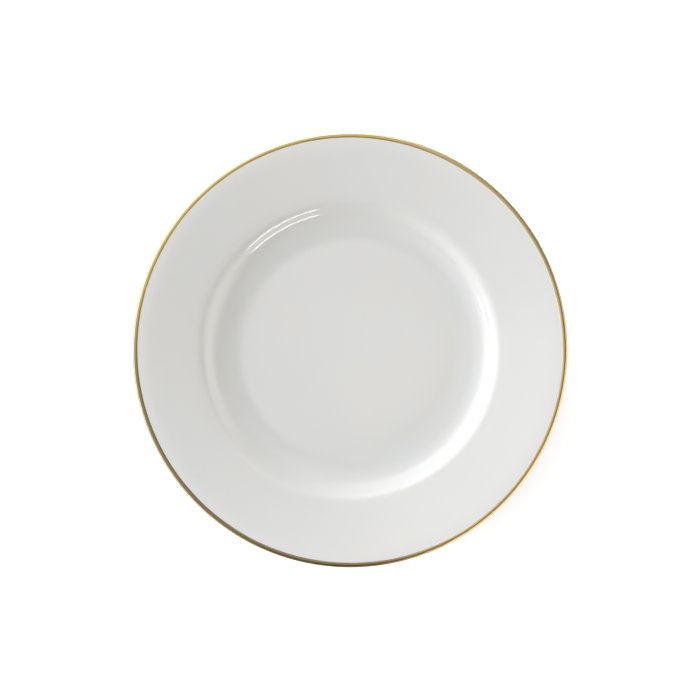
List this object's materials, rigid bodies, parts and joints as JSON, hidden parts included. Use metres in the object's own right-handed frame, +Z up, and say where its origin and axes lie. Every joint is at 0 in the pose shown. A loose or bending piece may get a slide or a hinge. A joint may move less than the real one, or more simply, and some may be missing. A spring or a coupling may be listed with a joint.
{
  "type": "china dinner plate",
  "caption": "Round white china dinner plate with a plain rim, a shallow stepped well, a gilded lip line and an unglazed foot ring.",
  "frame": {"origin": "on the plate's axis, in the plane that its foot ring stands on", "axes": "+Z up along the plate's axis, out of the well; +X and +Y lie in the table's plane, and the plate is round, so neither is marked on it"},
  "size_m": [0.27, 0.27, 0.0244],
  "materials": {
    "bare_china": "matte",
    "glaze": "gloss",
    "gilding": "polished",
    "printed_gold": "satin"
  },
  "bodies": {
    "root": {"china_body": "bare_china", "face_glaze": "glaze", "back_glaze": "glaze", "recess_glaze": "glaze", "gold_band": "gilding", "backstamp": "printed_gold"}
  },
  "joints": []
}
